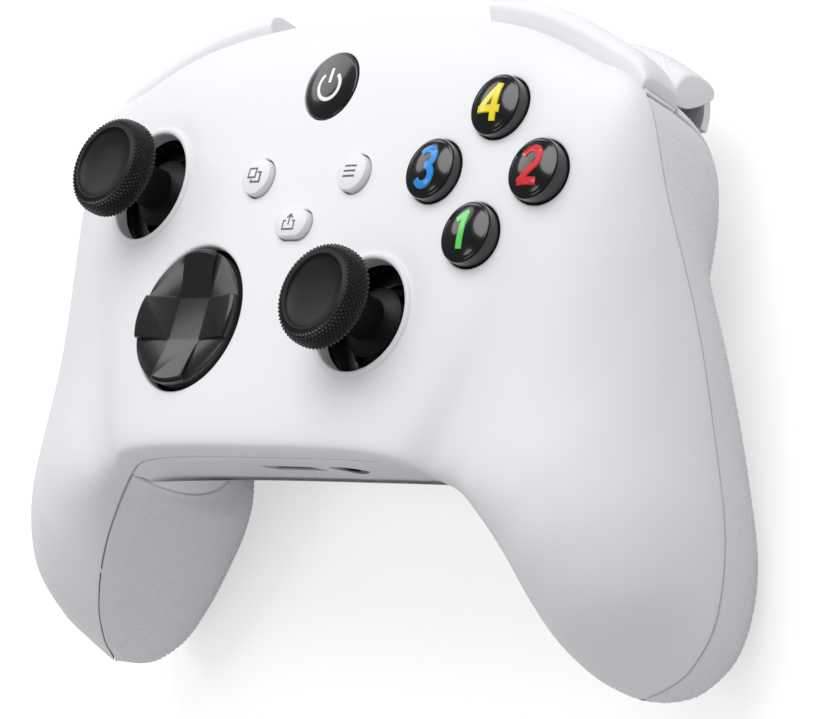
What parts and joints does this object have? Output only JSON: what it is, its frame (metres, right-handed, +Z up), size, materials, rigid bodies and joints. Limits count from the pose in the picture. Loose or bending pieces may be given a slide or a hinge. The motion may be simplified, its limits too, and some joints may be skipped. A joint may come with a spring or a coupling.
{
  "type": "game controller",
  "caption": "Wireless two-handed game controller with two sticks, a dished direction pad, face buttons, bumpers and triggers.",
  "frame": {"origin": "middle of the bounding box in X and Y, on the table it lies on", "axes": "+X to the right of the player, +Y towards the triggers, +Z up from the table; the face slopes down 12 degrees towards the triggers"},
  "size_m": [0.1556, 0.1128, 0.0599],
  "materials": {
    "white_shell": "fine satin",
    "grip_texture": "fine raised dots",
    "black_gloss": "polished",
    "black_satin": "satin, knurled edge",
    "steel": "plain",
    "board": "solder mask",
    "rubber": "matte",
    "cell": "plain wrap",
    "clear": "clear"
  },
  "bodies": {
    "housing": {"front_shell": "white_shell", "rear_shell": "white_shell", "left_grip_panel": "grip_texture", "right_grip_panel": "grip_texture", "top_bridge": "white_shell", "bumper_pins": "steel", "trigger_pins": "steel", "trigger_springs": "steel", "main_board": "board", "power_board": "board", "board_link": "black_satin", "left_stick_frame": "steel", "right_stick_frame": "steel", "stick_sensors": "black_satin", "left_stick_ring": "black_satin", "right_stick_ring": "black_satin", "face_button_pad": "rubber", "home_light_guide": "clear", "small_button_pad": "rubber", "dpad_bracket": "black_satin", "left_rumble_motor": "steel", "right_rumble_motor": "steel", "left_trigger_motor": "steel", "right_trigger_motor": "steel", "aa_batteries": "cell", "battery_contacts": "steel", "usb_port": "steel", "audio_jack": "black_satin", "expansion_port": "black_satin", "case_screws": "steel", "board_screws": "steel"},
    "left_trigger": {"left_trigger": "white_shell"},
    "right_trigger": {"right_trigger": "white_shell"},
    "left_bumper": {"left_bumper": "white_shell"},
    "right_bumper": {"right_bumper": "white_shell"},
    "face_button_north": {"face_button_north": "black_gloss"},
    "face_button_east": {"face_button_east": "black_gloss"},
    "face_button_south": {"face_button_south": "black_gloss"},
    "face_button_west": {"face_button_west": "black_gloss"},
    "home_button": {"home_button": "black_gloss"},
    "view_button": {"view_button": "white_shell"},
    "menu_button": {"menu_button": "white_shell"},
    "share_button": {"share_button": "white_shell"},
    "sync_button": {"sync_button": "black_satin"},
    "dpad_cross": {"dpad_cross": "steel"},
    "dpad": {"dpad": "black_gloss"},
    "left_stick_gimbal": {"left_stick_gimbal": "black_satin"},
    "left_stick_pivot": {"left_stick_pivot": "black_satin"},
    "left_stick": {"left_stick_shaft": "steel", "left_stick_cap": "black_satin"},
    "right_stick_gimbal": {"right_stick_gimbal": "black_satin"},
    "right_stick_pivot": {"right_stick_pivot": "black_satin"},
    "right_stick": {"right_stick_shaft": "steel", "right_stick_cap": "black_satin"},
    "left_rumble_weight": {"left_rumble_weight": "steel"},
    "right_rumble_weight": {"right_rumble_weight": "steel"},
    "left_trigger_weight": {"left_trigger_weight": "steel"},
    "right_trigger_weight": {"right_trigger_weight": "steel"},
    "battery_door": {"battery_door": "white_shell"}
  },
  "joints": [
    {"name": "left_trigger_pull", "type": "hinge", "parent": "housing", "child": "left_trigger", "pos_m": [-0.05, 0.03846, 0.02065], "axis": [-1, 0, 0], "range_deg": [0, 18], "stiffness_Nm_per_rad": 0.08, "springref_deg": -17.19},
    {"name": "left_bumper_press", "type": "hinge", "parent": "housing", "child": "left_bumper", "pos_m": [-0.0295, 0.04794, 0.02579], "axis": [0, 0.2079, 0.9781], "range_deg": [0, 2], "stiffness_Nm_per_rad": 1.2, "springref_deg": -1.72},
    {"name": "right_trigger_pull", "type": "hinge", "parent": "housing", "child": "right_trigger", "pos_m": [0.05, 0.03846, 0.02065], "axis": [-1, 0, 0], "range_deg": [0, 18], "stiffness_Nm_per_rad": 0.08, "springref_deg": -17.19},
    {"name": "right_bumper_press", "type": "hinge", "parent": "housing", "child": "right_bumper", "pos_m": [0.0295, 0.04794, 0.02579], "axis": [0, -0.2079, -0.9781], "range_deg": [0, 2], "stiffness_Nm_per_rad": 1.2, "springref_deg": -1.72},
    {"name": "face_north_press", "type": "slide", "parent": "housing", "child": "face_button_north", "axis": [0, -0.2079, -0.9781], "range_m": [0, 0.0015], "stiffness_N_per_m": 400, "springref_m": -0.001},
    {"name": "face_east_press", "type": "slide", "parent": "housing", "child": "face_button_east", "axis": [0, -0.2079, -0.9781], "range_m": [0, 0.0015], "stiffness_N_per_m": 400, "springref_m": -0.001},
    {"name": "face_south_press", "type": "slide", "parent": "housing", "child": "face_button_south", "axis": [0, -0.2079, -0.9781], "range_m": [0, 0.0015], "stiffness_N_per_m": 400, "springref_m": -0.001},
    {"name": "face_west_press", "type": "slide", "parent": "housing", "child": "face_button_west", "axis": [0, -0.2079, -0.9781], "range_m": [0, 0.0015], "stiffness_N_per_m": 400, "springref_m": -0.001},
    {"name": "home_press", "type": "slide", "parent": "housing", "child": "home_button", "axis": [0, -0.2079, -0.9781], "range_m": [0, 0.0006], "stiffness_N_per_m": 800, "springref_m": -0.0006},
    {"name": "view_press", "type": "slide", "parent": "housing", "child": "view_button", "axis": [0, -0.2079, -0.9781], "range_m": [0, 0.0006], "stiffness_N_per_m": 800, "springref_m": -0.0006},
    {"name": "menu_press", "type": "slide", "parent": "housing", "child": "menu_button", "axis": [0, -0.2079, -0.9781], "range_m": [0, 0.0006], "stiffness_N_per_m": 800, "springref_m": -0.0006},
    {"name": "share_press", "type": "slide", "parent": "housing", "child": "share_button", "axis": [0, -0.2079, -0.9781], "range_m": [0, 0.0006], "stiffness_N_per_m": 800, "springref_m": -0.0006},
    {"name": "sync_press", "type": "slide", "parent": "housing", "child": "sync_button", "axis": [0, -0.9781, 0.2079], "range_m": [0, 0.0006], "stiffness_N_per_m": 800, "springref_m": -0.0006},
    {"name": "dpad_tilt_up", "type": "hinge", "parent": "housing", "child": "dpad_cross", "pos_m": [-0.0212, -0.00132, 0.0379], "axis": [1, 0, 0], "range_deg": [-2.5, 2.5], "stiffness_Nm_per_rad": 0.8},
    {"name": "dpad_tilt_side", "type": "hinge", "parent": "dpad_cross", "child": "dpad", "pos_m": [-0.0212, -0.00132, 0.0379], "axis": [0, 0.9781, -0.2079], "range_deg": [-2.5, 2.5], "stiffness_Nm_per_rad": 0.8},
    {"name": "left_stick_tilt_up", "type": "hinge", "parent": "housing", "child": "left_stick_gimbal", "pos_m": [-0.041, 0.02262, 0.0327], "axis": [1, 0, 0], "range_deg": [-18, 18], "stiffness_Nm_per_rad": 0.05},
    {"name": "left_stick_tilt_side", "type": "hinge", "parent": "left_stick_gimbal", "child": "left_stick_pivot", "pos_m": [-0.041, 0.02262, 0.0327], "axis": [0, 0.9781, -0.2079], "range_deg": [-18, 18], "stiffness_Nm_per_rad": 0.05},
    {"name": "left_stick_click", "type": "slide", "parent": "left_stick_pivot", "child": "left_stick", "axis": [0, -0.2079, -0.9781], "range_m": [0, 0.0008], "stiffness_N_per_m": 3000, "springref_m": -0.0006},
    {"name": "right_stick_tilt_up", "type": "hinge", "parent": "housing", "child": "right_stick_gimbal", "pos_m": [0.0212, -0.00134, 0.0378], "axis": [1, 0, 0], "range_deg": [-18, 18], "stiffness_Nm_per_rad": 0.05},
    {"name": "right_stick_tilt_side", "type": "hinge", "parent": "right_stick_gimbal", "child": "right_stick_pivot", "pos_m": [0.0212, -0.00134, 0.0378], "axis": [0, 0.9781, -0.2079], "range_deg": [-18, 18], "stiffness_Nm_per_rad": 0.05},
    {"name": "right_stick_click", "type": "slide", "parent": "right_stick_pivot", "child": "right_stick", "axis": [0, -0.2079, -0.9781], "range_m": [0, 0.0008], "stiffness_N_per_m": 3000, "springref_m": -0.0006},
    {"name": "left_rumble_spin", "type": "hinge", "parent": "housing", "child": "left_rumble_weight", "pos_m": [-0.061, -0.02146, 0.0201], "axis": [0, 0.9781, -0.2079], "continuous": true},
    {"name": "left_trigger_rumble_spin", "type": "hinge", "parent": "housing", "child": "left_trigger_weight", "pos_m": [-0.024, 0.02823, 0.01822], "axis": [1, 0, 0], "continuous": true},
    {"name": "right_rumble_spin", "type": "hinge", "parent": "housing", "child": "right_rumble_weight", "pos_m": [0.061, -0.02146, 0.0201], "axis": [0, 0.9781, -0.2079], "continuous": true},
    {"name": "right_trigger_rumble_spin", "type": "hinge", "parent": "housing", "child": "right_trigger_weight", "pos_m": [0.024, 0.02823, 0.01822], "axis": [1, 0, 0], "continuous": true},
    {"name": "battery_door_slide", "type": "slide", "parent": "housing", "child": "battery_door", "axis": [0, -1, 0], "range_m": [0, 0.05]}
  ]
}
